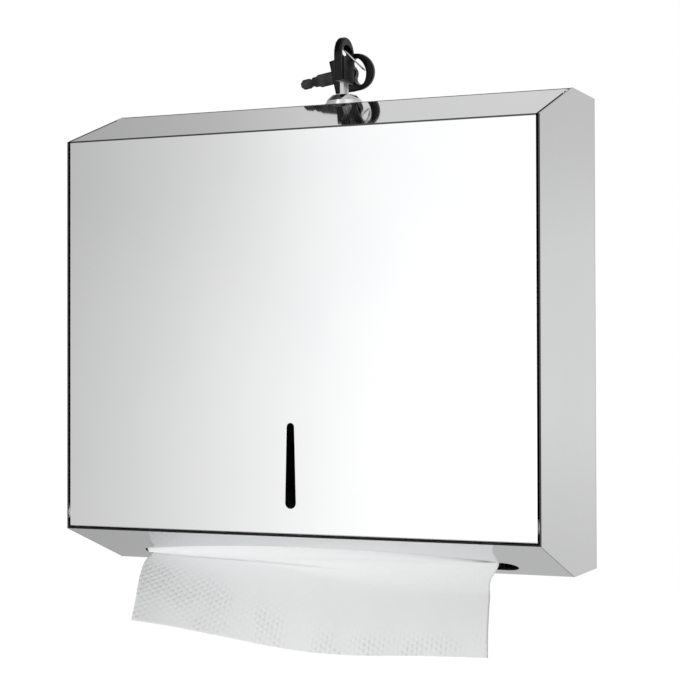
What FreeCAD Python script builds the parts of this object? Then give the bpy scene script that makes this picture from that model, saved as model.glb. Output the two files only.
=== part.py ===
"""Folded towel dispenser: a stainless wall cabinet, its drop-down door, a cam lock with keys, and towels.

Frame: +X is the viewer's right, the wall is the plane y = 0, the door faces -Y and +Z is up.
The origin is the middle of the four wall screws on the back face. Lengths are in millimetres.
"""
import FreeCAD, Part

import os
import re

import Sketcher

doc = FreeCAD.newDocument("TowelDispenser")
sheet = doc.addObject("Spreadsheet::Sheet", "Sizes")
aliases = []


def cell(alias, content, note=""):
    """Write one named size, or a formula of named sizes, on the next row of the sheet."""
    row = str(len(aliases) + 1)
    sheet.set("A" + row, alias)
    sheet.set("B" + row, str(content))
    sheet.set("C" + row, note)
    sheet.setAlias("B" + row, alias)
    aliases.append(alias)


# Cabinet
cell("case_width", 280, "over the side panels")
cell("case_height", 264, "at the wall")
cell("front_height", 220, "between the two slopes")
cell("slope_depth", 61.5, "front face to the start of the flats")
cell("rear_depth", 44.5, "flats at the wall")
cell("sheet_wall", 0.9, "stainless sheet")
cell("bend_inside", 0.3, "inner radius of a bend")
cell("top_lip", 6, "turned down at the front of the top flat")
cell("flange_width", 12, "welding flanges of the side panels")
cell("flange_setback", 22, "flange starts behind the front edge")
cell("screw_spacing_wide", 200)
cell("screw_spacing_high", 180)
cell("screw_hole", 6, "diameter")

# Towel slot in the lower slope, measured on plan
cell("slot_length", 227)
cell("slot_rear", 53.2, "rear lip to the wall")
cell("slot_end_radius", 7.8)
cell("slot_bow", 15.8, "front lip bows forward")

# Door
cell("door_side_gap", 1.2)
cell("door_bottom_gap", 1.2)
cell("door_rear_gap", 1.5)
cell("door_return", 14, "side returns of the door")
cell("door_hem", 6, "bottom return of the door")
cell("door_lip", 8, "turned down at the rear of the door")
cell("hinge_back", 5.5, "hinge axis behind the front face")
cell("hinge_rise", 8.3, "hinge axis above the door's bottom edge")
cell("sight_top", 50.9, "upper arc centre of the sight slot below the origin")
cell("sight_bottom", 91.75, "lower arc centre of the sight slot below the origin")
cell("sight_top_radius", 2.2)
cell("sight_bottom_radius", 3.15)

# Hinge hardware
cell("pin_radius", 2)
cell("pin_neck_radius", 1.5)
cell("pin_length", 4.7)
cell("pin_play", 0.06, "radial running clearance")
cell("hinge_washer_radius", 4)
cell("hinge_washer_thick", 1)
cell("clip_radius", 3.9)
cell("clip_thick", 0.7)
cell("clip_mouth", 2.6)
cell("clip_gap", 0.25, "clip to the door's return")
cell("bumper_length", 14)
cell("bumper_height", 4)
cell("bumper_place", 90, "bumper centres either side of the middle")
cell("rest_gap", 0.3, "between a piece and what it rests on")

# Lock
cell("lock_edge", 13.5, "lock axis behind the front of the top flat")
cell("lock_head_radius", 10.4)
cell("lock_head_rise", 4.8)
cell("lock_crown_radius", 7)
cell("lock_rim_rise", 1.3)
cell("trim_radius", 11.2)
cell("trim_thick", 1.4)
cell("barrel_radius", 8)
cell("barrel_flats", 14.4)
cell("barrel_depth", 19, "below the top of the case")
cell("barrel_play", 0.1)
cell("nut_flats", 20)
cell("nut_thick", 3.2)
cell("star_radius", 10.4)
cell("star_thick", 0.7)
cell("plug_radius", 5.95)
cell("plug_play", 0.06)
cell("plug_sink", 0.3, "plug face below the crown")
cell("square_side", 7)
cell("keyway_width", 8)
cell("keyway_thick", 2.6)
cell("keyway_depth", 25)
cell("wafer_thick", 0.9)
cell("wafer_width", 5.2)
cell("wafer_length", 10.6)
cell("wafer_pitch", 3)
cell("wafer_first", 5, "lowest wafer above the barrel's end")
cell("wafer_play", 0.1)
cell("cam_length", 25)
cell("cam_width", 10)
cell("cam_thick", 2)
cell("cam_gap", 0.2)
cell("stud_radius", 2.95)
cell("cam_washer_radius", 5.5)
cell("cam_washer_thick", 0.8)
cell("cam_nut_flats", 10)
cell("cam_nut_thick", 4)
cell("stud_end", 0.6, "stud past its nut")
wafer_count = 5

# Strike bracket
cell("strike_left", 10)
cell("strike_leg", 26, "leg starts this far right of the lock")
cell("strike_right", 40)
cell("strike_clear", 1.5, "hook plate behind the closed cam")
cell("strike_arm_drop", 3, "arm below the cam")
cell("strike_hook_rise", 8)

# Keys
cell("key_rise", 7.4, "shoulder above the lock's crown")
cell("blade_thick", 2.2)
cell("blade_width", 7.6)
cell("blade_length", 20.6)
cell("blade_neck", 4.4)
cell("blade_bit", 5.8)
cell("blade_bit_length", 6.6)
cell("blade_tip", 1.8, "tapered end of the bit")
cell("blade_step", 0.8, "sides step in before the neck")
cell("blade_first_step", 9, "below the shoulder")
cell("blade_second_step", 12.3, "below the shoulder")
cell("blade_ramp", 1, "slanted part of a step")
cell("blade_groove", 1.2)
cell("bow_width", 21.5)
cell("bow_length", 26.3)
cell("bow_foot", 19.4)
cell("bow_flare", 4.7, "straight side below the round")
cell("bow_thick", 4.4)
cell("bow_edge", 1.2, "rounding of the bow's rim")
cell("pad_foot", 1, "pad above the shoulder")
cell("pad_width", 14)
cell("pad_height", 13.9)
cell("pad_raise", 0.5)
cell("crescent_centre", 11.5)
cell("crescent_radius", 7.2)
cell("crescent_half", 3.1)
cell("crescent_turn", 50, "ends of the crescent above its centre's level")
cell("ring_radius", 11.5)
cell("wire_radius", 0.5)
cell("spare_tilt", 9, "spare key's blade points down by this angle")
cell("spare_lean", 9, "spare key's upper side leans forward by this angle")
cell("spare_back", 15.2, "spare key's middle plane behind the lock's axis")
cell("spare_hold", 20.3, "ring crosses the spare bow this far from its shoulder")
cell("ring_hold", 18.9, "ring crosses the upright bow this far above its shoulder")
cell("ring_reach", 6.4, "ring's far crossing to the right of the near one")
cell("ring_drop", 9.6, "ring's far crossing below the near one")

# Towels
cell("towel_gap_left", 3.5, "towels to the slot's left end")
cell("towel_gap_right", 15.5, "towels to the slot's right end")
cell("stack_height", 32.8, "at the wall")
cell("stack_rear_gap", 4)
cell("stack_front_gap", 15)
cell("towel_thick", 0.8)
cell("towel_lip_gap", 2.4, "towel behind the slot's front lip")
cell("towel_start", 0.7, "towel's upper end above the slope's outer face")
cell("towel_bulge", 1.5, "towel bulges below the slot")
cell("crease_gap", 8.8, "crease in front of the slot's rear lip")
cell("crease_drop", 3, "crease below the slope on the left")
cell("crease_fall", 3.4, "crease lower by this on the right")
cell("towel_drop", 46.7, "free edge below the crease in the middle")
cell("towel_swing", 26, "free edge in front of the crease on the left")
cell("towel_belly", 1.2, "fall in front of a straight line halfway down")

# Worked out from the sizes above
cell("lock_back", "=rear_depth - lock_edge")
cell("slot_end", "=slot_length / 2 - slot_end_radius", "centre of the slot's round end")
cell("slot_bow_radius", "=(slot_end * slot_end + slot_bow * slot_bow) / (2 * slot_bow)")
cell("slot_front", "=-slot_rear - 2 * slot_end_radius", "front of the round ends")
cell("towel_wide", "=slot_length - towel_gap_left - towel_gap_right")
cell("towel_middle", "=(towel_gap_left - towel_gap_right) / 2")
cell("depth", "=slope_depth + rear_depth")
cell("pitch", "=(case_height - front_height) / 2 / slope_depth", "slope's rise over its run")
cell("secant", "=sqrt(1 + pitch * pitch)")
cell("rear_miter", "=(secant - 1) / pitch", "a bend at the flats, along the flat per offset")
cell("front_miter", "=secant - pitch", "a bend at the front face, along the face per offset")
cell("half_inside", "=case_width / 2 - sheet_wall")
cell("door_half", "=half_inside - door_side_gap")
cell("door_foot", "=-front_height / 2 + door_bottom_gap")
cell("door_rear", "=-rear_depth - door_rear_gap")
cell("hinge_y", "=hinge_back - depth")
cell("hinge_z", "=door_foot + hinge_rise")
cell("top_z", "=case_height / 2")
cell("crown_z", "=top_z + trim_thick + lock_head_rise")
cell("barrel_end", "=top_z - barrel_depth")
cell("plug_top", "=crown_z - plug_sink")
cell("cam_top", "=barrel_end - cam_gap")
cell("cam_under", "=cam_top - cam_thick")
cell("cam_nut_top", "=cam_under - cam_washer_thick")
cell("cam_nut_under", "=cam_nut_top - cam_nut_thick")
cell("shoulder_z", "=crown_z + key_rise")
doc.recompute()

WORD = re.compile(r"[a-z]\w*")


def formula(text):
    """Turn a formula in the sheet's words into one that any object of the document can use."""
    return WORD.sub(lambda word: ("Sizes." if word.group() in aliases else "") + word.group(), text)


def value(text):
    """The number that a formula gives now."""
    return float(sheet.evalExpression(formula(text)))


def bind(thing, **sizes):
    """Tie properties to formulas; two underscores stand for the dot in a property's path."""
    for path, text in sizes.items():
        thing.setExpression(path.replace("__", "."), formula(str(text)))


def vector(x, y, z):
    return FreeCAD.Vector(value(x), value(y), value(z))


# Sketches and features of a sheet or machined piece

def new_body(label, **placement):
    """A body with the node's name, its origin tied to the formulas given for x, y and z."""
    body = doc.addObject("PartDesign::Body", label)
    body.Label = label
    bind(body, **{"Placement__Base__" + axis: text for axis, text in placement.items()})
    return body


def outline(body, plane, points, arcs=None, offset="0"):
    """A closed outline on an origin plane; arcs gives, for the edge after a point, the arc's centre.

    A centre is written ("x", formula) or ("y", formula), with +1 for an arc that runs anticlockwise.
    """
    arcs = arcs or {}
    sketch = body.newObject("Sketcher::SketchObject", body.Name + "Outline")
    origin = [feature for feature in body.Origin.OriginFeatures if feature.Role == plane][0]
    sketch.AttachmentSupport = [(origin, "")]
    sketch.MapMode = "FlatFace"
    bind(sketch, AttachmentOffset__Base__z=offset)
    corners = [FreeCAD.Vector(value(x), value(y), 0) for x, y in points]
    count = len(corners)
    for index, start in enumerate(corners):
        end = corners[(index + 1) % count]
        if index in arcs:
            sketch.addGeometry(arc_between(start, end, *arcs[index]), False)
        else:
            sketch.addGeometry(Part.LineSegment(start, end), False)
    ends = [(2, 1) if arcs.get(index, ("", "", 1))[2] > 0 else (1, 2) for index in range(count)]
    for index in range(count):
        after = (index + 1) % count
        joint = ("Coincident", index, ends[index][0], after, ends[after][1])
        sketch.addConstraint(Sketcher.Constraint(*joint))
    for index, (x, y) in enumerate(points):
        place(sketch, "DistanceX", index, ends[index][1], x)
        place(sketch, "DistanceY", index, ends[index][1], y)
    for index, (axis, text, _) in arcs.items():
        place(sketch, "DistanceX" if axis == "x" else "DistanceY", index, 3, text)
    return sketch


def arc_between(start, end, axis, text, turn):
    """The arc from start to end whose centre has the given x or y and is equally far from both."""
    middle = (start + end) / 2
    chord = end - start
    if axis == "x":
        centre_x = value(text)
        centre = FreeCAD.Vector(centre_x, middle.y - (centre_x - middle.x) * chord.x / (chord.y or 1), 0)
    else:
        centre_y = value(text)
        centre = FreeCAD.Vector(middle.x - (centre_y - middle.y) * chord.y / (chord.x or 1), centre_y, 0)
    circle = Part.Circle(centre, FreeCAD.Vector(0, 0, 1), (start - centre).Length)
    first, last = (start, end) if turn > 0 else (end, start)
    return Part.ArcOfCircle(circle, circle.parameter(first), circle.parameter(last))


def place(sketch, kind, index, point, text):
    number = sketch.addConstraint(Sketcher.Constraint(kind, -1, 1, index, point, value(text)))
    sketch.setExpression("Constraints[%d]" % number, formula(text))


def disc(body, plane, x, y, radius, offset="0"):
    """A sketch of one circle on an origin plane."""
    sketch = body.newObject("Sketcher::SketchObject", body.Name + "Circle")
    origin = [feature for feature in body.Origin.OriginFeatures if feature.Role == plane][0]
    sketch.AttachmentSupport = [(origin, "")]
    sketch.MapMode = "FlatFace"
    bind(sketch, AttachmentOffset__Base__z=offset)
    centre = FreeCAD.Vector(value(x), value(y), 0)
    sketch.addGeometry(Part.Circle(centre, FreeCAD.Vector(0, 0, 1), value(radius)), False)
    place(sketch, "DistanceX", 0, 3, x)
    place(sketch, "DistanceY", 0, 3, y)
    number = sketch.addConstraint(Sketcher.Constraint("Radius", 0, value(radius)))
    sketch.setExpression("Constraints[%d]" % number, formula(radius))
    return sketch


def pad(body, sketch, length, both=False, back=False):
    feature = body.newObject("PartDesign::Pad", body.Name + "Pad")
    feature.Profile = sketch
    feature.Midplane = both
    feature.Reversed = back
    bind(feature, Length=length)
    doc.recompute()
    return feature


def pocket(body, sketch, length, both=False, back=False):
    """Cut the sketch's outline out of the body, and make sure that something was cut."""
    before = body.Shape.Volume
    feature = body.newObject("PartDesign::Pocket", body.Name + "Pocket")
    feature.Profile = sketch
    feature.Midplane = both
    feature.Reversed = back
    bind(feature, Length=length)
    doc.recompute()
    if body.Shape.Volume > before - 0.01:
        raise RuntimeError(body.Label + ": a pocket cuts nothing")
    return feature


def revolve(body, sketch):
    feature = body.newObject("PartDesign::Revolution", body.Name + "Revolution")
    feature.Profile = sketch
    feature.ReferenceAxis = (sketch, ["V_Axis"])
    feature.Angle = 360
    doc.recompute()
    return feature


def bend(body, radius, corners):
    """Round the edges along X that pass through the given (y, z) corners."""
    feature = body.Tip
    names = []
    for number, edge in enumerate(feature.Shape.Edges, 1):
        ends = [vertex.Point for vertex in edge.Vertexes]
        if len(ends) == 2 and abs(ends[0].x - ends[1].x) > value("half_inside"):
            if any(abs(ends[0].y - value(y)) + abs(ends[0].z - value(z)) < 0.01 for y, z in corners):
                names.append("Edge%d" % number)
    if len(names) != len(corners):
        raise RuntimeError(body.Label + ": %d bends, %d edges" % (len(corners), len(names)))
    fillet = body.newObject("PartDesign::Fillet", body.Name + "Bend")
    fillet.Base = (feature, names)
    bind(fillet, Radius=radius)
    doc.recompute()


# Plain turned and milled pieces

def block(label, low, high):
    """A box between two corners, each corner three formulas."""
    box = doc.addObject("Part::Box", label)
    for axis, side, first, last in zip("xyz", ("Length", "Width", "Height"), low, high):
        bind(box, **{"Placement__Base__" + axis: first, side: "(%s) - (%s)" % (last, first)})
    return box


def rod(label, radius, low, high, x="0", y="-lock_back"):
    """An upright cylinder between two heights."""
    cylinder = doc.addObject("Part::Cylinder", label)
    bind(cylinder, Radius=radius, Height="(%s) - (%s)" % (high, low), Placement__Base__x=x)
    bind(cylinder, Placement__Base__y=y, Placement__Base__z=low)
    return cylinder


def hexagon(label, flats, low, high):
    """An upright hexagonal prism on the lock's axis."""
    prism = doc.addObject("Part::Prism", label)
    prism.Polygon = 6
    bind(prism, Circumradius="(%s) / sqrt(3)" % flats, Height="(%s) - (%s)" % (high, low))
    bind(prism, Placement__Base__y="-lock_back", Placement__Base__z=low)
    return prism


def cut(base, *tools):
    """The base less every tool."""
    for tool in tools:
        result = doc.addObject("Part::Cut", "Cut")
        result.Base = base
        result.Tool = tool
        base = result
    return base


def join(*pieces):
    result = doc.addObject("Part::MultiFuse", "Joined")
    result.Shapes = list(pieces)
    return result


def group(pieces):
    """Separate solids that share one node."""
    result = doc.addObject("Part::Compound", "Group")
    result.Links = pieces
    return result


nodes = []


def node(label, thing):
    """Name a finished sub-part."""
    thing.Label = label
    nodes.append(thing)
    return thing


# Case: one folded strip from the top lip round the back to the lower slope

def make_case_shell():
    body = new_body("case_shell")
    slope_end = "-front_height / 2 + sheet_wall * secant"
    profile = [
        ("-rear_depth", "top_z - top_lip"),
        ("-rear_depth", "top_z"),
        ("0", "top_z"),
        ("0", "-top_z"),
        ("-rear_depth", "-top_z"),
        ("-depth", "-front_height / 2"),
        ("-depth", slope_end),
        ("-rear_depth - sheet_wall * rear_miter", "-top_z + sheet_wall"),
        ("-sheet_wall", "-top_z + sheet_wall"),
        ("-sheet_wall", "top_z - sheet_wall"),
        ("-rear_depth + sheet_wall", "top_z - sheet_wall"),
        ("-rear_depth + sheet_wall", "top_z - top_lip"),
    ]
    pad(body, outline(body, "YZ_Plane", profile), "2 * half_inside", both=True)
    bend(body, "bend_inside + sheet_wall", profile[1:5])
    bend(body, "bend_inside", profile[7:11])
    for side in ("-", ""):
        for level in ("-", ""):
            hole = disc(body, "XZ_Plane", side + "screw_spacing_wide / 2", level + "screw_spacing_high / 2",
                        "screw_hole / 2")
            pocket(body, hole, "4 * sheet_wall", both=True)
    lock_hole = disc(body, "XY_Plane", "0", "-lock_back", "barrel_radius + barrel_play")
    pocket(body, lock_hole, "case_height", back=True)
    slot = outline(body, "XY_Plane", [
        ("-slot_end", "slot_front"),
        ("slot_end", "slot_front"),
        ("slot_end", "-slot_rear"),
        ("-slot_end", "-slot_rear"),
    ], {
        0: ("y", "slot_front - slot_bow + slot_bow_radius", 1),
        1: ("x", "slot_end", 1),
        3: ("x", "-slot_end", 1),
    })
    pocket(body, slot, "case_height")
    return node("case_shell", body)


def make_side_panel(label, side):
    """A six-sided plate with a welding flange that lies inside the folded strip."""
    body = new_body(label)
    back = side < 0
    reach = "%d * half_inside" % side
    plate = [
        ("0", "-top_z"),
        ("0", "top_z"),
        ("-rear_depth", "top_z"),
        ("-depth", "front_height / 2"),
        ("-depth", "-front_height / 2"),
        ("-rear_depth", "-top_z"),
    ]
    pad(body, outline(body, "YZ_Plane", plate, offset=reach), "sheet_wall", back=back)
    start = "-depth + flange_setback"
    flange = [
        ("-rear_depth + 2 * sheet_wall", "top_z - sheet_wall"),
        ("-sheet_wall", "top_z - sheet_wall"),
        ("-sheet_wall", "-top_z + sheet_wall"),
        ("-rear_depth - sheet_wall * rear_miter", "-top_z + sheet_wall"),
        (start, "-front_height / 2 - flange_setback * pitch + sheet_wall * secant"),
        (start, "-front_height / 2 - flange_setback * pitch + 2 * sheet_wall * secant"),
        ("-rear_depth - 2 * sheet_wall * rear_miter", "-top_z + 2 * sheet_wall"),
        ("-2 * sheet_wall", "-top_z + 2 * sheet_wall"),
        ("-2 * sheet_wall", "top_z - 2 * sheet_wall"),
        ("-rear_depth + 2 * sheet_wall", "top_z - 2 * sheet_wall"),
    ]
    pad(body, outline(body, "YZ_Plane", flange, offset=reach), "flange_width", back=not back)
    return node(label, body)


# Door: front panel and top slope in one folded sheet

def slope_height(y):
    """Height of the top slope's outer face at a depth."""
    return "front_height / 2 + ((%s) + depth) * pitch" % y


def make_door_panel():
    body = new_body("door_panel")
    rear_inner = "door_rear - sheet_wall"
    profile = [
        ("-depth + door_hem", "door_foot"),
        ("-depth", "door_foot"),
        ("-depth", "front_height / 2"),
        ("door_rear", slope_height("door_rear")),
        ("door_rear", slope_height("door_rear") + " - door_lip"),
        (rear_inner, slope_height("door_rear") + " - door_lip"),
        (rear_inner, slope_height(rear_inner) + " - sheet_wall * secant"),
        ("-depth + sheet_wall", "front_height / 2 - sheet_wall * front_miter"),
        ("-depth + sheet_wall", "door_foot + sheet_wall"),
        ("-depth + door_hem", "door_foot + sheet_wall"),
    ]
    pad(body, outline(body, "YZ_Plane", profile), "2 * door_half", both=True)
    bend(body, "bend_inside + sheet_wall", profile[1:4])
    bend(body, "bend_inside", profile[6:9])
    inner_end = slope_height(rear_inner)
    side_return = [
        ("-depth + sheet_wall", "door_foot + sheet_wall"),
        ("-depth + door_return", "door_foot + sheet_wall"),
        ("-depth + door_return", "front_height / 2 - door_return * front_miter"),
        (rear_inner, inner_end + " - door_return * secant"),
        (rear_inner, inner_end + " - sheet_wall * secant"),
        ("-depth + sheet_wall", "front_height / 2 - sheet_wall * front_miter"),
    ]
    for side in (-1, 1):
        sketch = outline(body, "YZ_Plane", side_return, offset="%d * door_half" % side)
        pad(body, sketch, "sheet_wall", back=side > 0)
    sight = outline(body, "XZ_Plane", [
        ("-sight_bottom_radius", "-sight_bottom"),
        ("sight_bottom_radius", "-sight_bottom"),
        ("sight_top_radius", "-sight_top"),
        ("-sight_top_radius", "-sight_top"),
    ], {0: ("y", "-sight_bottom", 1), 2: ("y", "-sight_top", 1)})
    pocket(body, sight, "2 * depth", back=True)
    hinge_hole = disc(body, "YZ_Plane", "hinge_y", "hinge_z", "pin_radius + pin_play")
    pocket(body, hinge_hole, "case_width", both=True)
    return node("door_panel", body)


def make_strike_bracket():
    """A bent plate on the door's rear lip that reaches back behind the closed cam."""
    body = new_body("strike_bracket")
    leg_back = "door_rear - sheet_wall"
    leg_front = "door_rear - 2 * sheet_wall"
    arm_top = "cam_under - strike_arm_drop"
    hook_front = "-lock_back + cam_width / 2 + strike_clear"
    leg = [
        (leg_back, slope_height(leg_back) + " - 2 * sheet_wall * secant"),
        (leg_front, slope_height(leg_front) + " - 2 * sheet_wall * secant"),
        (leg_front, arm_top + " - sheet_wall"),
        (hook_front + " + sheet_wall", arm_top + " - sheet_wall"),
        (hook_front + " + sheet_wall", arm_top),
        (leg_back, arm_top),
    ]
    arm = outline(body, "YZ_Plane", leg, offset="strike_leg")
    pad(body, arm, "strike_right - strike_leg")
    hook = outline(body, "YZ_Plane", [
        (hook_front, arm_top + " - sheet_wall"),
        (hook_front + " + sheet_wall", arm_top + " - sheet_wall"),
        (hook_front + " + sheet_wall", arm_top + " + strike_hook_rise"),
        (hook_front, arm_top + " + strike_hook_rise"),
    ], offset="strike_left")
    pad(body, hook, "strike_right - strike_left")
    return node("strike_bracket", body)


# Hinge hardware, the same at both lower corners

def hinge_rod(label, radius, side, near, far):
    """A cylinder along +X on the hinge axis, between two distances inward from the side panel."""
    start = "half_inside - (%s)" % far if side > 0 else "-half_inside + (%s)" % near
    cylinder = doc.addObject("Part::Cylinder", label)
    cylinder.Placement.Rotation = FreeCAD.Rotation(FreeCAD.Vector(0, 1, 0), 90)
    bind(cylinder, Radius=radius, Height="(%s) - (%s)" % (far, near), Placement__Base__x=start)
    bind(cylinder, Placement__Base__y="hinge_y", Placement__Base__z="hinge_z")
    return cylinder


def make_hinge_hardware():
    neck_start = "door_side_gap + sheet_wall + clip_gap / 2"
    neck_end = neck_start + " + clip_thick + clip_gap"
    clip_start = "door_side_gap + sheet_wall + clip_gap"
    clip_end = clip_start + " + clip_thick"
    pins = []
    washers = []
    clips = []
    for side in (-1, 1):
        pins.append(join(hinge_rod("PinRoot", "pin_radius", side, "0", neck_start),
                         hinge_rod("PinNeck", "pin_neck_radius", side, neck_start, neck_end),
                         hinge_rod("PinHead", "pin_radius", side, neck_end, "pin_length")))
        washers.append(cut(hinge_rod("WasherDisc", "hinge_washer_radius", side, "0", "hinge_washer_thick"),
                           hinge_rod("WasherHole", "pin_radius + pin_play", side, "0",
                                     "hinge_washer_thick")))
        first = "half_inside - (%s)" % clip_end if side > 0 else "-half_inside + (%s)" % clip_start
        mouth = block("ClipMouth", (first, "hinge_y", "hinge_z - clip_mouth / 2"),
                      (first + " + clip_thick", "hinge_y + 2 * clip_radius", "hinge_z + clip_mouth / 2"))
        clips.append(cut(hinge_rod("ClipDisc", "clip_radius", side, clip_start, clip_end),
                         hinge_rod("ClipHole", "pin_neck_radius + pin_play", side, clip_start, clip_end),
                         mouth))
    node("hinge_pins", group(pins))
    node("hinge_washers", group(washers))
    node("hinge_clips", group(clips))


def make_door_bumpers():
    """Rubber pads on the case's front lip that the closed door leans against."""
    pads = []
    for side in ("-", ""):
        middle = side + "bumper_place"
        pads.append(block("Bumper",
                          (middle + " - bumper_length / 2", "-rear_depth - door_rear_gap + rest_gap",
                           "top_z - top_lip + (top_lip - bumper_height) / 3"),
                          (middle + " + bumper_length / 2", "-rear_depth",
                           "top_z - top_lip + (top_lip - bumper_height) / 3 + bumper_height")))
    node("door_bumpers", group(pads))


# Cam lock through the top flat

def make_lock():
    housing = new_body("lock_housing", y="-lock_back")
    seat = "top_z + trim_thick"
    bore = "plug_radius + plug_play"
    profile = [
        (bore, "barrel_end"),
        ("barrel_radius", "barrel_end"),
        ("barrel_radius", seat),
        ("lock_head_radius", seat),
        ("lock_head_radius", seat + " + lock_rim_rise"),
        ("lock_crown_radius", "crown_z"),
        (bore, "crown_z"),
    ]
    revolve(housing, outline(housing, "XZ_Plane", profile, {4: ("x", "0", 1)}))
    for turn in (1, -1):
        flat = outline(housing, "XY_Plane", [
            ("-barrel_radius", "%d * barrel_flats / 2" % turn),
            ("barrel_radius", "%d * barrel_flats / 2" % turn),
            ("barrel_radius", "%d * 2 * barrel_radius" % turn),
            ("-barrel_radius", "%d * 2 * barrel_radius" % turn),
        ], offset="barrel_end")
        pocket(housing, flat, "barrel_depth", back=True)
    node("lock_housing", housing)
    around = "barrel_radius + barrel_play"
    node("lock_trim_washer", cut(rod("TrimDisc", "trim_radius", "top_z", seat),
                                 rod("TrimHole", around, "top_z", seat)))
    star_top = "top_z - sheet_wall"
    nut_top = "top_z - sheet_wall - star_thick"
    nut_under = nut_top + " - nut_thick"
    node("lock_star_washer", cut(rod("StarDisc", "star_radius", nut_top, star_top),
                                 rod("StarHole", around, nut_top, star_top)))
    node("lock_nut", cut(hexagon("NutHex", "nut_flats", nut_under, nut_top),
                         rod("NutHole", around, nut_under, nut_top)))


def make_plug_and_cam():
    body = rod("PlugBody", "plug_radius", "barrel_end", "plug_top")
    square = block("PlugSquare", ("-square_side / 2", "-lock_back - square_side / 2", "cam_under"),
                   ("square_side / 2", "-lock_back + square_side / 2", "barrel_end"))
    stud = rod("PlugStud", "stud_radius", "cam_nut_under - stud_end", "cam_under")
    keyway_foot = "plug_top - keyway_depth"
    keyway = block("Keyway", ("-keyway_thick / 2", "-lock_back - keyway_width / 2", keyway_foot),
                   ("keyway_thick / 2", "-lock_back + keyway_width / 2", "plug_top"))
    wafers = []
    cuts = [keyway]
    for index in range(wafer_count):
        low = "barrel_end + wafer_first + %d * wafer_pitch" % index
        high = low + " + wafer_thick"
        slot_half = "(wafer_width / 2 + wafer_play)"
        cuts.append(block("WaferSlot",
                          ("-" + slot_half, "-lock_back - plug_radius", low + " - wafer_play"),
                          (slot_half, "-lock_back + plug_radius", high + " + wafer_play")))
        plate = block("WaferPlate", ("-wafer_width / 2", "-lock_back - wafer_length / 2", low),
                      ("wafer_width / 2", "-lock_back + wafer_length / 2", high))
        window = block("WaferWindow", ("-keyway_thick / 2", "-lock_back - keyway_width / 2", low),
                       ("keyway_thick / 2", "-lock_back + keyway_width / 2", high))
        wafers.append(cut(plate, window))
    node("lock_plug", cut(join(body, square, stud), *cuts))
    node("lock_wafers", group(wafers))
    cam = new_body("lock_cam", y="-lock_back")
    tip = "-cam_length + cam_width / 2"
    tail = "square_side / 2"
    shape = outline(cam, "XY_Plane", [
        ("-cam_width / 2", tip),
        ("cam_width / 2", tip),
        ("cam_width / 2", tail),
        ("-cam_width / 2", tail),
    ], {0: ("y", tip, 1), 2: ("y", tail, 1)}, offset="cam_under")
    pad(cam, shape, "cam_thick")
    half = "(square_side / 2 + barrel_play)"
    square_hole = outline(cam, "XY_Plane", [
        ("-" + half, "-" + half),
        (half, "-" + half),
        (half, half),
        ("-" + half, half),
    ], offset="cam_under")
    pocket(cam, square_hole, "2 * cam_thick", back=True)
    node("lock_cam", cam)
    around = "stud_radius + barrel_play"
    node("cam_washer", cut(rod("CamWasherDisc", "cam_washer_radius", "cam_nut_top", "cam_under"),
                           rod("CamWasherHole", around, "cam_nut_top", "cam_under")))
    node("cam_nut", cut(hexagon("CamNutHex", "cam_nut_flats", "cam_nut_under", "cam_nut_top"),
                        rod("CamNutHole", around, "cam_nut_under", "cam_nut_top")))


# Keys: each is made upright with its shoulder at the origin, then put in its place

# The way that the ring's flat side faces, so that it is seen edge-on from the front right
RING_FACE = FreeCAD.Vector(0.69, 0.16, 0.71)

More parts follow.
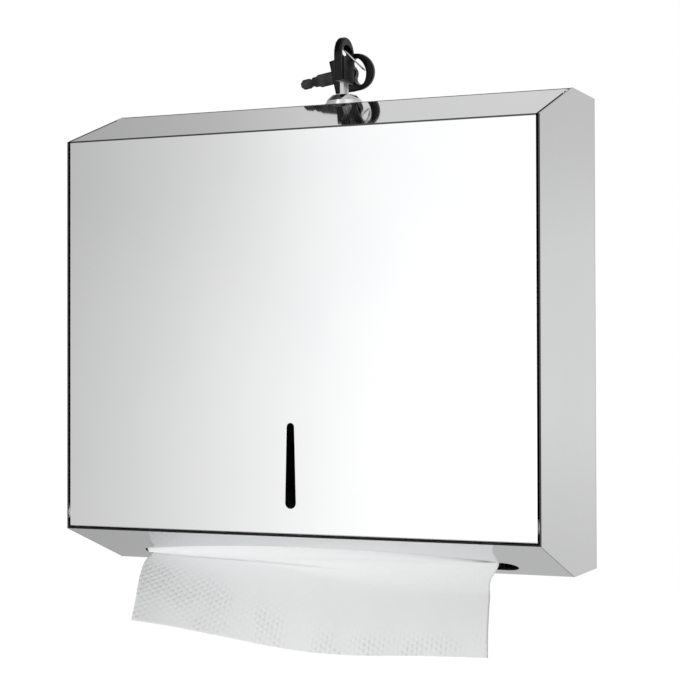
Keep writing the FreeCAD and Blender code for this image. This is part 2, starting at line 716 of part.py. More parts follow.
def make_key(prefix, placement):
    blade = new_body(prefix + "_blade")
    half = "blade_width / 2"
    bit_start = "-blade_length + blade_bit_length"
    left = [
        ("-" + half, "0"),
        ("-" + half, "-blade_first_step + blade_ramp"),
        ("-%s + blade_step" % half, "-blade_first_step"),
        ("-%s + blade_step" % half, "-blade_second_step + blade_ramp"),
        ("-blade_neck / 2", "-blade_second_step"),
        ("-blade_neck / 2", bit_start),
        ("-blade_bit / 2", bit_start + " - blade_ramp"),
        ("-blade_bit / 2", "-blade_length + blade_tip"),
        ("-blade_bit / 2 + blade_tip", "-blade_length"),
    ]
    right = [
        ("blade_bit / 2 - blade_tip", "-blade_length"),
        ("blade_bit / 2", "-blade_length + blade_tip"),
        ("blade_bit / 2", bit_start + " - blade_ramp"),
        ("blade_neck / 2", bit_start),
        ("blade_neck / 2", "-blade_second_step - blade_ramp"),
        (half + " - blade_step", "-blade_second_step"),
        (half + " - blade_step", "-blade_first_step - blade_ramp"),
        (half, "-blade_first_step"),
        (half, "0"),
    ]
    pad(blade, outline(blade, "YZ_Plane", left + right), "blade_thick", both=True)
    groove = outline(blade, "YZ_Plane", [
        ("-blade_groove / 2", "-blade_length"),
        ("blade_groove / 2", "-blade_length"),
        ("blade_groove / 2", "-blade_ramp"),
        ("-blade_groove / 2", "-blade_ramp"),
    ], offset="blade_thick / 2")
    pocket(blade, groove, "blade_thick / 4")
    bow = new_body(prefix + "_bow")
    round_from = "bow_length - bow_width / 2"
    shape = outline(bow, "YZ_Plane", [
        ("-bow_foot / 2", "0"),
        ("bow_foot / 2", "0"),
        ("bow_width / 2", round_from + " - bow_flare"),
        ("bow_width / 2", round_from),
        ("-bow_width / 2", round_from),
        ("-bow_width / 2", round_from + " - bow_flare"),
    ], {3: ("y", round_from, 1)})
    pad(bow, shape, "bow_thick", both=True)
    plain = bow.Tip
    rim = ["Edge%d" % number for number, edge in enumerate(plain.Shape.Edges, 1)
           if abs(abs(edge.CenterOfMass.x) - value("bow_thick / 2")) < 0.001]
    rounding = bow.newObject("PartDesign::Fillet", bow.Name + "Rim")
    rounding.Base = (plain, rim)
    bind(rounding, Radius="bow_edge")
    doc.recompute()
    grip = outline(bow, "YZ_Plane", [
        ("-pad_width / 2", "pad_foot"),
        ("pad_width / 2", "pad_foot"),
        ("pad_width / 2", "pad_foot + pad_height"),
        ("-pad_width / 2", "pad_foot + pad_height"),
    ])
    pad(bow, grip, "bow_thick + 2 * pad_raise", both=True)
    outer = "(crescent_radius + crescent_half)"
    inner = "(crescent_radius - crescent_half)"
    along = " * cos(crescent_turn)"
    rise = " * sin(crescent_turn)"
    crescent = outline(bow, "YZ_Plane", [
        (inner + along, "crescent_centre + " + inner + rise),
        (outer + along, "crescent_centre + " + outer + rise),
        ("-" + outer + along, "crescent_centre + " + outer + rise),
        ("-" + inner + along, "crescent_centre + " + inner + rise),
    ], {
        0: ("x", "crescent_radius" + along, 1),
        1: ("y", "crescent_centre", 1),
        2: ("x", "-crescent_radius" + along, 1),
        3: ("y", "crescent_centre", -1),
    })
    pocket(bow, crescent, "4 * bow_thick", both=True)
    blade.Placement = placement
    bow.Placement = placement
    node(prefix + "_blade", blade)
    node(prefix + "_bow", bow)


def make_keys():
    near = vector("0", "-lock_back", "shoulder_z + ring_hold")
    far = vector("ring_reach", "-lock_back + spare_back", "shoulder_z + ring_hold - ring_drop")
    along = vector("cos(spare_tilt)", "0", "sin(spare_tilt)")
    level = vector("-sin(spare_tilt)", "0", "cos(spare_tilt)")
    make_key("key", FreeCAD.Placement(vector("0", "-lock_back", "shoulder_z"), FreeCAD.Rotation()))
    face = vector("0", "cos(spare_lean)", "0") + level * value("sin(spare_lean)")
    turned = FreeCAD.Rotation(face, level, along, "ZXY")
    make_key("spare_key", FreeCAD.Placement(far - along * value("spare_hold"), turned))
    middle = (near + far) / 2
    chord = far - near
    normal = (RING_FACE - chord * (RING_FACE.dot(chord) / chord.dot(chord))).normalize()
    sideways = normal.cross(chord).normalize()
    rise = (value("ring_radius") ** 2 - chord.Length ** 2 / 4) ** 0.5
    ring = doc.addObject("Part::Torus", "key_ring")
    bind(ring, Radius1="ring_radius", Radius2="wire_radius")
    turned = FreeCAD.Rotation(FreeCAD.Vector(0, 0, 1), normal)
    ring.Placement = FreeCAD.Placement(middle + sideways * rise, turned)
    node("key_ring", ring)
    print("the ring crosses the upright bow at", near, "and the spare bow at", far)


# Towels: the stack in the case and the towel that hangs from the slot

def lower_slope(y, lift):
    """Height at a depth of the line that lies square above the lower slope's outer face by the lift."""
    return "-front_height / 2 - ((%s) + depth) * pitch + (%s) * secant" % (y, lift)


def slot_lip(x):
    """Depth of the slot's front lip at a place across it, on the bow or on a round end."""
    past = "(abs(%s) - slot_end)" % x
    if value(past) > 0:
        return "-slot_rear - slot_end_radius - sqrt(slot_end_radius ^ 2 - %s ^ 2)" % past
    return "slot_front - slot_bow + slot_bow_radius - sqrt(slot_bow_radius ^ 2 - %s ^ 2)" % x


def make_towel_stack():
    body = new_body("towel_stack", x="towel_middle")
    front = "-depth + stack_front_gap"
    lift = "sheet_wall + rest_gap"
    bottom = "-top_z + sheet_wall + rest_gap"
    shape = outline(body, "YZ_Plane", [
        ("-stack_rear_gap", bottom),
        ("-stack_rear_gap", bottom + " + stack_height"),
        (front, bottom + " + stack_height"),
        (front, lower_slope(front, lift)),
        ("-rear_depth - (%s) * rear_miter" % lift, bottom),
    ])
    pad(body, shape, "towel_wide", both=True)
    return node("towel_stack", body)


def make_lead_towel():
    """A folded towel that bulges out of the slot, creases in front of its rear lip and hangs down.

    Each section across the towel has its start in the slot, the crease and the free edge, with the
    bulge and the fall between them as arcs. The left side swings forward.
    """
    crease_y = "-slot_rear - crease_gap"
    outward = vector("0", "-pitch / secant", "-1 / secant")
    rear = vector("0", "towel_thick", "0")
    behind = vector("0", "towel_thick", "0.3 * towel_thick")
    wires = []
    # Per section: place across, then its shares of the swing, the drop and the fall of the crease
    for across, swing, drop, fall in ((-1, 1, 0.71, 0), (-0.52, 0.63, 0.9, 0), (0.02, 0.25, 1, 0.5),
                                      (0.54, 0.04, 0.96, 1), (1, 0.02, 0.93, 1)):
        x = "(towel_middle + %s * towel_wide / 2)" % across
        start_y = slot_lip(x) + " + towel_lip_gap"
        start = vector(x, start_y, lower_slope(start_y, "towel_start"))
        crease_z = lower_slope(crease_y, "0") + " - crease_drop - %s * crease_fall" % fall
        crease = vector(x, crease_y, crease_z)
        edge = crease + vector("0", "-%s * towel_swing" % swing, "-%s * towel_drop" % drop)
        belly = (crease + edge) / 2 - vector("0", "towel_belly", "0")
        bulge = (start + crease) / 2 + outward * value("towel_bulge")
        above = outward * value("-towel_thick")
        wires.append(Part.Wire([
            Part.Arc(start, bulge, crease).toShape(),
            Part.Arc(crease, belly, edge).toShape(),
            Part.LineSegment(edge, edge + rear).toShape(),
            Part.Arc(edge + rear, belly + rear, crease + behind).toShape(),
            Part.Arc(crease + behind, bulge + above, start + rear).toShape(),
            Part.LineSegment(start + rear, start).toShape(),
        ]))
    towel = doc.addObject("Part::Feature", "lead_towel")
    towel.Shape = Part.makeLoft(wires, True, True)
    return node("lead_towel", towel)


make_case_shell()
make_side_panel("side_panel_left", -1)
make_side_panel("side_panel_right", 1)
make_door_panel()
make_strike_bracket()
make_hinge_hardware()
make_door_bumpers()
make_lock()
make_plug_and_cam()
make_keys()
make_towel_stack()
make_lead_towel()
doc.recompute()

# Every object is up to date and every sub-part is a valid solid before anything is written
for thing in doc.Objects:
    if "Invalid" in thing.State or "Error" in thing.State:
        raise RuntimeError("%s: %s" % (thing.Label, thing.State))
for piece in nodes:
    if piece.Shape.isNull() or not piece.Shape.isValid() or not piece.Shape.Solids:
        raise RuntimeError(piece.Label + " has no valid solid")

os.makedirs("parts", exist_ok=True)
for piece in nodes:
    piece.Shape.exportStep("parts/" + piece.Label + ".step")
    box = piece.Shape.BoundBox
    print("%-18s %d solid(s) %10.1f mm3  x %.1f..%.1f  y %.1f..%.1f  z %.1f..%.1f" % (
        piece.Label, len(piece.Shape.Solids), piece.Shape.Volume,
        box.XMin, box.XMax, box.YMin, box.YMax, box.ZMin, box.ZMax))
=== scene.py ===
# %% [markdown]
# # A folded towel dispenser
#
# The real cabinet is bent from thin stainless sheet and polished until it mirrors the room.
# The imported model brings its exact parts: case, door, hinge hardware, cam lock and keys.
# This file gives them their finishes, builds the paper towels as real sheets of paper, and
# sets up the studio in which the whole thing is looked at.

import math

import bpy
import numpy as np
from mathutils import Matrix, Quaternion, Vector


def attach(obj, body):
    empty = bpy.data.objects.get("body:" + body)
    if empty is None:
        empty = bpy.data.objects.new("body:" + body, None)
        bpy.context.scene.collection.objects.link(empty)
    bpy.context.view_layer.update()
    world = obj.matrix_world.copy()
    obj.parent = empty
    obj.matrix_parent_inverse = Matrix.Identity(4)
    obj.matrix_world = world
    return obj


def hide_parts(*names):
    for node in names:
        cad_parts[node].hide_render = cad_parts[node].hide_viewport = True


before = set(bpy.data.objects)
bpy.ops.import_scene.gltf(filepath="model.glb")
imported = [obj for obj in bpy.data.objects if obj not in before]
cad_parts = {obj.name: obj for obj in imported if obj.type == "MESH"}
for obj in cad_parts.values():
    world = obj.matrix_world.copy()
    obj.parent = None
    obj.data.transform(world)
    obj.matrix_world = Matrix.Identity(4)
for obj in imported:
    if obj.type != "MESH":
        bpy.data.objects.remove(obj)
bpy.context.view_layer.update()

# %% [markdown]
# ## The camera
#
# Straight edges of the cabinet run towards their vanishing points in the picture, and that
# fixes where the camera stood: a long lens about a metre away, a little below the middle and
# to the right. A camera turned by a track quaternion keeps the horizon level, and one small
# turn about its own axis adds the slight tilt of a hand-held shot.

# %% Stand the camera
LENS, SENSOR = 93.33, 36
AIM = Vector((0.00506, -0.05, -0.00342))
DISTANCE = 0.9984
azimuth, elevation, roll = (math.radians(angle) for angle in (23.33, -0.87, -0.14))

camera = bpy.data.objects.new("camera", bpy.data.cameras.new("camera"))
bpy.context.scene.collection.objects.link(camera)
bpy.context.scene.camera = camera
towards = Vector((math.sin(azimuth) * math.cos(elevation),
                  -math.cos(azimuth) * math.cos(elevation),
                  math.sin(elevation)))
camera.location = AIM + DISTANCE * towards
camera.rotation_mode = "QUATERNION"
camera.rotation_quaternion = (-towards).to_track_quat("-Z", "Y") @ Quaternion((0, 0, 1), roll)
camera.data.lens = LENS
camera.data.sensor_width = SENSOR
camera.data.clip_start = 0.05
camera.data.clip_end = 50
bpy.context.scene.view_settings.view_transform = "Standard"
print("the camera stands at", [round(value, 3) for value in camera.location])

# %% [markdown]
# ## Writing shaders as sums
#
# A procedural material is arithmetic on coordinates and noise. Wrapping a socket in a class
# with Python's operators lets that arithmetic be read as a formula. Every operation still
# becomes a Math node. Any other node comes from one method: its settings go in first, then
# the values or links of its sockets.


# %% A socket that can be calculated with
class Socket:
    """An output of a node tree. Python's + - and * on it add Math nodes to the tree."""

    def __init__(self, tree, output=None):
        self.tree = tree
        self.output = output

    def node(self, kind, inputs=None, output=0, **settings):
        """Add a node: its settings first, then its sockets' values or links."""
        made = self.tree.nodes.new(kind)
        for name, setting in settings.items():
            setattr(made, name, setting)
        for name, content in (inputs or {}).items():
            if isinstance(content, Socket):
                self.tree.links.new(content.output, made.inputs[name])
            else:
                made.inputs[name].default_value = content
        return Socket(self.tree, made.outputs[output])

    def math(self, operation, *numbers):
        """A Math node whose first number is this socket."""
        inputs = {index: number for index, number in enumerate((self, *numbers))}
        return self.node("ShaderNodeMath", inputs, operation=operation)

    def __add__(self, other):
        return self.math("ADD", other)

    def __sub__(self, other):
        return self.math("SUBTRACT", other)

    def __mul__(self, other):
        return self.math("MULTIPLY", other)

    def __rsub__(self, other):
        return self.math("MULTIPLY", -1) + other

    __radd__ = __add__
    __rmul__ = __mul__

    def apart(self):
        """The three numbers of this vector: sideways, depthways and upwards."""
        numbers = self.node("ShaderNodeSeparateXYZ", {"Vector": self}).output.node.outputs
        return [Socket(self.tree, numbers[axis]) for axis in "XYZ"]

    def smooth(self, low, high, first=0.0, last=1.0):
        """first up to low, last from high on, and a smooth step between them."""
        inputs = {"Value": self, "From Min": low, "From Max": high, "To Min": first, "To Max": last}
        return self.node("ShaderNodeMapRange", inputs, interpolation_type="SMOOTHSTEP")

    def noise(self, scale, detail=2.0, roughness=0.5, stretch=(1, 1, 1)):
        """Soft noise over object space from 0 to 1; scale counts its blobs in a metre."""
        place = self.node("ShaderNodeTexCoord", output="Object")
        place = self.node("ShaderNodeMapping", {"Vector": place, "Scale": stretch})
        inputs = {"Vector": place, "Scale": scale, "Detail": detail, "Roughness": roughness}
        return self.node("ShaderNodeTexNoise", inputs, output="Fac")

    def blend(self, first, second):
        """The first colour where this is 0 and the second where it is 1."""
        inputs = {"Factor": self, 6: (*first, 1), 7: (*second, 1)}
        return self.node("ShaderNodeMix", inputs, output=2, data_type="RGBA")

    def relief(self, strength, distance, under=None):
        """A bump normal from this height, laid on the bump under it."""
        inputs = {"Strength": strength, "Distance": distance, "Height": self}
        if under is not None:
            inputs["Normal"] = under
        return self.node("ShaderNodeBump", inputs, output="Normal")


print("sockets can be added, subtracted, multiplied, smoothed and blended")

# %% [markdown]
# ## From recipe to material
#
# A finish has two kinds of ingredients: what varies over the surface, which a recipe works
# out from noise and place, and constants, which go straight into the shader's sockets. Parts
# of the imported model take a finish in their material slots, so their meshes stay as they are.

# %% Make a finish and put it on
def finish(name, recipe, **constants):
    """A Principled material: recipe(start) gives what varies, constants what doesn't."""
    material = bpy.data.materials.new(name)
    material.use_nodes = True
    tree = material.node_tree
    shader = tree.nodes["Principled BSDF"]
    for socket, content in constants.items():
        shader.inputs[socket.replace("_", " ")].default_value = content
    for socket, content in recipe(Socket(tree)).items():
        tree.links.new(content.output, shader.inputs[socket])
    return material


def dress(material, *nodes):
    """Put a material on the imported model's own parts."""
    for name in nodes:
        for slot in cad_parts[name].material_slots:
            slot.material = material
    print(material.name, "is on", ", ".join(nodes))


print("the packed model has", len(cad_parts), "parts to dress")

# %% [markdown]
# ## Mirror-polished stainless
#
# Polished sheet is a mirror with small faults. It isn't quite flat, so reflections swim, and
# wiping leaves a thin haze that blurs them unevenly. Both are slow noise: one drives the
# roughness by a few hundredths and the other a bump whose waves are as long as a hand.

# %% Polished sheet for the door
def polished_sheet(start, painted_brightness=1.0):
    haze = start.noise(9, detail=4, roughness=0.6)
    smear = start.noise(60, detail=3, stretch=(1, 1, 0.25))
    swim = start.noise(7, detail=1)
    # Below a brightness of one the sheet's colour is painted darker, as painted shade.
    return {
        "Base Color": haze.smooth(0.3, 0.8).blend((0.90 * painted_brightness, 0.902 * painted_brightness, 0.908 * painted_brightness),
                                                  (0.87 * painted_brightness, 0.875 * painted_brightness, 0.885 * painted_brightness)),
        "Roughness": 0.035 + 0.03 * haze + 0.012 * smear,
        "Normal": swim.relief(0.12, 0.002),
    }


dress(finish("polished door sheet", polished_sheet, Metallic=1.0), "door_panel")

# %% [markdown]
# ## Cut edges and painted gap shade
#
# The side panels and the case's lower slope end in cut edges round the door, and the towel
# slot is punched. A sheared edge isn't polished: it is rough, and its colour is painted nearly
# black, which is painted shade for the shadow in the gaps round the door. That frames the door
# as a black line. Which faces are cut edges can be told from where they face and where they
# lie, so each finish makes a mask of both.
#
# On a side panel every face that doesn't face sideways is a cut edge. The ones that face the
# viewer are painted fully dark, the others half, and a thin strip along the wall a third, all
# of it painted shade: the shadow in the door's gaps and the dark gap at the wall.

# %% Side panels with sheared edges and painted shade
def sheet_with_shaded_edges(start, cut_edge_and_shade, edge_shade_tone, painted_brightness=1.0):
    """Polished sheet that turns rough where the mask is 1, painted dark there as painted shade in the
    gaps; the tone is that painted colour.
    """
    mirror = polished_sheet(start, painted_brightness)
    scored = start.noise(700, detail=2)
    edge = {"Factor": cut_edge_and_shade, 6: mirror["Base Color"], 7: (edge_shade_tone, edge_shade_tone, edge_shade_tone, 1)}
    return {
        "Base Color": start.node("ShaderNodeMix", edge, output=2, data_type="RGBA"),
        "Roughness": mirror["Roughness"] + cut_edge_and_shade * (0.3 + 0.2 * scored),
        "Normal": mirror["Normal"],
    }


def side_sheet(start):
    sideways, depthways, _ = start.node("ShaderNodeTexCoord", output="Normal").apart()
    _, depth, _ = start.node("ShaderNodeTexCoord", output="Object").apart()
    edge = sideways.math("ABSOLUTE").smooth(0.4, 0.6, 1.0, 0.0)
    # Cut edges facing the front are painted fully dark, the others half: painted shade for the gaps
    # round the door.
    edges_and_front_shade = edge * depthways.smooth(-0.9, -0.7, 1.0, 0.5)
    # A thin strip along the wall is painted a third dark: painted shade for the dark gap at the wall.
    painted_wall_shade = depth.smooth(-0.0016, -0.0010, 0.0, 0.35)
    return sheet_with_shaded_edges(start, edges_and_front_shade + painted_wall_shade, edge_shade_tone=0.10)


dress(finish("side panel sheet", side_sheet, Metallic=1.0), "side_panel_left", "side_panel_right")

# %% [markdown]
# ## Case
#
# The case is bent from one sheet. Only its lower slope shows cut edges, those of the slope
# itself and of the slot: faces that aren't level, lie low, and lie in front of the flat. They
# are painted nearly black, painted shade for the gaps under the door and round the towel. The
# whole case sheet is also painted darker than the door's, which dims its reflections as
# painted shade.

# %% Case with sheared edges and painted shade
def case_sheet(start):
    _, _, upward = start.node("ShaderNodeTexCoord", output="Normal").apart()
    _, depth, height = start.node("ShaderNodeTexCoord", output="Object").apart()
    steep = upward.math("ABSOLUTE").smooth(0.4, 0.6, 1.0, 0.0)
    low_down = height.smooth(-0.108, -0.104, 1.0, 0.0)
    in_front = depth.smooth(-0.05, -0.048, 1.0, 0.0)
    # Painted shade: the cut edges go nearly black, and the whole sheet's colour is dimmed to darken
    # its reflections.
    return sheet_with_shaded_edges(start, steep * low_down * in_front, edge_shade_tone=0.03, painted_brightness=0.86)


dress(finish("case sheet", case_sheet, Metallic=1.0), "case_shell")

# %% [markdown]
# ## Chrome and zinc
#
# The lock's head is chromed brass, brighter than the sheet. The pieces inside are zinc
# plated: duller, and faintly mottled where the plating took unevenly.

# %% Lock chrome
def chrome(start):
    marks = start.noise(900, detail=2)
    return {
        "Base Color": marks.blend((0.86, 0.865, 0.875), (0.93, 0.93, 0.935)),
        "Roughness": 0.04 + 0.05 * marks,
        "Normal": start.noise(260, detail=2).relief(0.05, 0.0004),
    }


dress(finish("lock chrome", chrome, Metallic=1.0), "lock_housing", "lock_trim_washer", "lock_plug")


# %% Zinc plating
def zinc(start):
    mottle = start.noise(160, detail=3, roughness=0.7)
    return {
        "Base Color": mottle.smooth(0.3, 0.7).blend((0.58, 0.6, 0.62), (0.74, 0.75, 0.76)),
        "Roughness": 0.28 + 0.2 * mottle,
        "Normal": start.noise(700, detail=2).relief(0.1, 0.0003),
    }


dress(finish("zinc plating", zinc, Metallic=1.0), "strike_bracket", "hinge_pins", "hinge_clips",
      "lock_star_washer", "lock_nut", "lock_cam", "cam_washer", "cam_nut")

# %% [markdown]
# ## Keys and wafers
#
# The key in the lock is bright nickel with a fine grain along the blade. The spare on the ring
# is the same nickel painted nearly black in uneven patches, a painted dark reflection of the
# surroundings its blade faces. The wafers inside the lock are stamped brass with a little tarnish.

# %% Nickel, bright and painted dark
def nickel(start):
    grain = start.noise(420, detail=3, stretch=(1, 1, 0.12))
    return {
        "Base Color": grain.blend((0.62, 0.62, 0.62), (0.86, 0.86, 0.85)),
        "Roughness": 0.16 + 0.2 * grain,
        "Normal": grain.relief(0.15, 0.0003),
    }


def nickel_painted_dark(start):
    grain = start.noise(380, detail=3, stretch=(0.15, 1, 1))
    patchy_painted_shade = start.noise(130, detail=2)
    # The spare's blade is painted nearly black in uneven patches: painted dark reflection.
    return {
        "Base Color": patchy_painted_shade.smooth(0.35, 0.75).blend((0.035, 0.035, 0.036), (0.1, 0.1, 0.1)),
        "Roughness": 0.35 + 0.25 * grain,
        "Normal": grain.relief(0.3, 0.0004),
    }


dress(finish("bright nickel", nickel, Metallic=1.0), "key_blade", "key_ring")
dress(finish("nickel painted dark", nickel_painted_dark, Metallic=1.0), "spare_key_blade")


# %% Stamped brass
def stamped_brass(start):
    tarnish = start.noise(300, detail=3)
    return {
        "Base Color": tarnish.blend((0.62, 0.43, 0.16), (0.82, 0.66, 0.34)),
        "Roughness": 0.22 + 0.2 * tarnish,
    }


dress(finish("stamped brass", stamped_brass, Metallic=1.0), "lock_wafers")

# %% [markdown]
# ## Plastic, nylon and rubber
#
# The keys' bows are moulded black plastic with the fine leathery surface of a spark-eroded
# mould. It shows only in the highlights, so it is all bump and roughness, with hardly any
# change of colour. The hinge washers are natural nylon, and the bumpers are soft rubber.

# %% Black plastic
def moulded_black(start):
    grain = start.noise(1800, detail=2)
    rub = start.noise(90, detail=3)
    return {
        "Base Color": rub.smooth(0.4, 0.8).blend((0.002, 0.002, 0.0025), (0.008, 0.008, 0.009)),
        "Roughness": 0.18 + 0.16 * rub,
        "Normal": grain.relief(0.08, 0.0002),
    }


dress(finish("moulded black", moulded_black, Specular_IOR_Level=0.22), "key_bow", "spare_key_bow")


# %% Nylon and rubber
def nylon(start):
    cloud = start.noise(400, detail=2)
    return {
        "Base Color": cloud.blend((0.80, 0.80, 0.76), (0.88, 0.88, 0.85)),
        "Roughness": 0.4 + 0.15 * cloud,
    }


def rubber(start):
    dust = start.noise(500, detail=3)
    return {
        "Base Color": dust.smooth(0.45, 0.8).blend((0.022, 0.022, 0.022), (0.07, 0.07, 0.068)),
        "Roughness": 0.7 + 0.2 * dust,
        "Normal": dust.relief(0.2, 0.0002),
    }


dress(finish("natural nylon", nylon), "hinge_washers")
dress(finish("black rubber", rubber), "door_bumpers")

# %% [markdown]
# ## Paper
#
# A paper towel is soft white tissue, embossed with slanting dashes in staggered rows so that
# its plies hold together. The pattern belongs to the sheet, not to space, so it reads a UV
# map in millimetres, whose zero line is the towel's crease. Two sine waves along and across
# the slant multiply into raised ovals, which are painted lighter than the paper between them:
# painted light on their relief. They are pressed in only below a line that drops from left to
# right, and unevenly. The crease is a thin groove that fades away to the right, bumped in and
# painted darker as painted shade.

# %% The embossed paper
DASH_LENGTH, DASH_GAP = 6.4, 3.0
DASH_SLANT = math.radians(57)


def embossed(start):
    flat = start.node("ShaderNodeUVMap", uv_map="millimetres")
    sideways, down, _ = flat.apart()
    slanted = start.node("ShaderNodeMapping", {"Vector": flat, "Rotation": (0, 0, DASH_SLANT)})
    along, across, _ = slanted.apart()
    along_wave = (along * (2 * math.pi / DASH_LENGTH)).math("SINE")
    across_wave = (across * (2 * math.pi / DASH_GAP)).math("SINE")
    ovals = (along_wave * across_wave).math("MAXIMUM", 0)
    pressed = (down - sideways.smooth(-120, 20, 6, 36)).smooth(-8, 6, 0.12, 1.0)
    embossing = ovals * pressed * start.noise(45, detail=2).smooth(0.35, 0.62, 0.1, 1.0)
    crease = down.math("ABSOLUTE").smooth(0.15, 0.8, 1.0, 0.0) * sideways.smooth(-20, 22, 1.0, 0.0)
    crumple = start.noise(45, detail=3).relief(0.35, 0.0012)
    fibres = start.noise(2600, detail=3, roughness=0.7).relief(0.12, 0.0002, crumple)
    # Painted light and shade: raised ovals are painted lighter, and the crease darker.
    emboss_light_and_crease_shade = (embossing * 0.6 + 0.4) * (1 - 0.9 * crease)
    return {
        "Base Color": emboss_light_and_crease_shade.blend((0.82, 0.825, 0.83), (0.92, 0.923, 0.927)),
        "Normal": (embossing - crease).relief(0.8, 0.0006, fibres),
    }


paper = finish("embossed paper", embossed, Roughness=0.92, Specular_IOR_Level=0.2)
print(paper.name, "has", len(paper.node_tree.nodes), "nodes")

# %% [markdown]
# ## Sheets from grids of points
#
# A sheet of paper is a surface of two parameters, so its points make a grid and its faces are
# the squares between neighbours. Whole arrays go into the mesh at once, which is much faster
# than adding vertices one by one. Each point also keeps its place on the flat sheet as its UV.

# %% Grid to mesh
def grid_quads(index):
    """The squares between neighbours in a grid of vertex numbers, as rows of four."""
    corners = (index[:-1, :-1], index[:-1, 1:], index[1:, 1:], index[1:, :-1])
    return np.stack(corners, axis=-1).reshape(-1, 4)


def paper_piece(name, points, faces, sizes):
    """A piece of paper from points in millimetres, faces of four, and each point's flat place."""
    mesh = bpy.data.meshes.new(name)
    mesh.vertices.add(len(points))
    mesh.vertices.foreach_set("co", (points / 1000).reshape(-1).astype(np.float32))
    mesh.loops.add(faces.size)
    mesh.loops.foreach_set("vertex_index", faces.reshape(-1).astype(np.int32))
    mesh.polygons.add(len(faces))
    mesh.polygons.foreach_set("loop_start", np.arange(0, faces.size, 4, dtype=np.int32))
    mesh.update(calc_edges=True)
    mesh.validate()
    flat = mesh.uv_layers.new(name="millimetres")
    flat.data.foreach_set("uv", sizes[faces.reshape(-1)].reshape(-1).astype(np.float32))
    mesh.materials.append(paper)
    piece = bpy.data.objects.new(name, mesh)
    bpy.context.scene.collection.objects.link(piece)
    print(name, "has", len(faces), "faces")
    return piece


# %% [markdown]
# ## The hanging towel
#
# The lowest towel of the pile bulges out of the slot, creases and hangs down, folded in two
# at its free edge. That is one long ribbon in profile: down behind the slot's front lip, back
# to the crease, down the front leaf, round the fold and up the rear leaf. The profile changes
# across the towel, because its left side swings forward, so the ribbon is a grid: one
# parameter runs across and the other along. The crease is sharp on the left and fades away
# to the right, which is a corner rounded by a curve whose reach grows across the towel.

# %% Slope and slot of the case
PITCH = 22 / 61.5
SECANT = math.hypot(1, PITCH)
BEND_DEPTH, BEND_LEVEL = -106, -110
SLOT_HALF, SLOT_DEPTH, SLOT_END = 105.7, -61, 7.8
LIP_DEPTH, LIP_RADIUS = -84.6, 361.5


def slope_level(y, lift=0.0):
    """Height of the lower slope's outer face at depth y, plus a square lift, in millimetres."""
    return BEND_LEVEL - (y - BEND_DEPTH) * PITCH + lift * SECANT


def slot_lip(x):
    """Depth of the slot's front lip: a shallow arc between two round ends, in millimetres."""
    sideways = np.abs(x)
    bow = LIP_DEPTH + LIP_RADIUS - np.sqrt(LIP_RADIUS ** 2 - np.clip(sideways, 0, SLOT_HALF) ** 2)
    past = np.maximum(sideways - SLOT_HALF, 0)
    end = SLOT_DEPTH - np.sqrt(np.maximum(SLOT_END ** 2 - past ** 2, 0))
    return np.where(sideways < SLOT_HALF, bow, end)


print("the slot's lip lies at %.1f mm in the middle" % slot_lip(np.zeros(1))[0])

# %% [markdown]
# ## The towel's leading lines
#
# Four lines across the towel carry its profile: where it leaves the slot, the crease, the
# free edge, and where the rear leaf goes back into the slot. At the left end the towel swings
# forward and its corner is drawn in, and at the right end its band flares out sideways. High
# powers of the place across keep these to the ends.

# %% Lines across the towel
MIDDLE, HALF_WIDTH = -6, 104
CREASE_DEPTH, CREASE_HANG = -62.0, 3
LIP_CLEARANCE, INNER_LIFT = 2.4, 1.15
REAR_DEPTH = -60.6
SWING = 26
DROP_PLACES = (-1, -0.7, -0.43, -0.14, 0.05, 0.3, 0.6, 1)
DROPS = (33.9, 37.8, 42.7, 47.5, 48.9, 49.2, 47.4, 46.3)


def fading(across):
    """0 where the crease is sharp, 1 where it has faded, with a smooth step between."""
    part = np.clip((across + 0.55) / 1.1, 0, 1)
    return part * part * (3 - 2 * part)


def eased(x, places, heights):
    """Straight lines through the heights at the places, with each corner averaged out."""
    width = len(x) // 9
    line = np.interp(x, places, heights)
    before = 2 * line[0] - line[width:0:-1]
    after = 2 * line[-1] - line[-2:-width - 2:-1]
    weights = np.hanning(2 * width + 1)
    return np.convolve(np.concatenate([before, line, after]), weights / weights.sum(), "valid")


def towel_lines(across):
    """Start, crease, edge and top: points in millimetres for each place across, -1 to 1."""
    x = MIDDLE + HALF_WIDTH * across
    left, right = ((1 - across) / 2) ** 6, ((1 + across) / 2) ** 6
    swung = ((1 - across) / 2) ** 1.7
    level = slope_level(CREASE_DEPTH) - CREASE_HANG
    start_y = slot_lip(x) + LIP_CLEARANCE
    start = (x - 1.2 * left + 0.7 * right, start_y, slope_level(start_y, INNER_LIFT))
    crease = (x + left, np.full_like(x, CREASE_DEPTH), level + 2.1 * left - 1.8 * fading(across))
    edge = (x + 1.4 * left - 1.5 * right, CREASE_DEPTH - SWING * swung,
            level - eased(across, DROP_PLACES, DROPS))
    top = (x - 2 * right, np.full_like(x, REAR_DEPTH),
           np.full_like(x, slope_level(REAR_DEPTH, INNER_LIFT)))
    return [np.stack(line, axis=-1) for line in (start, crease, edge, top)]


print("the free edge hangs %.0f to %.0f mm below the crease" % (min(DROPS), max(DROPS)))

# %% [markdown]
# ## Along the towel
#
# Between the leading lines every profile is filled in by simple curves, each worked out for
# all places across at once. The parameter t runs from 0 to 1 along each stretch. A few waves
# across the free edge keep it from hanging dead straight.

# %% Shape of the hanging towel
LEAF_GAP = 0.75
FORWARDS = np.array([0, -1, 0])
OUTWARDS = np.array([0, -PITCH, -1]) / SECANT


def stretch(count, first=0, last=1, **options):
    """Even steps as a column of parameters that multiplies rows of points."""
    return np.linspace(first, last, count, **options)[:, None, None]


def unit(way):
    """The same directions with a length of one."""
    return way / np.linalg.norm(way, axis=-1, keepdims=True)


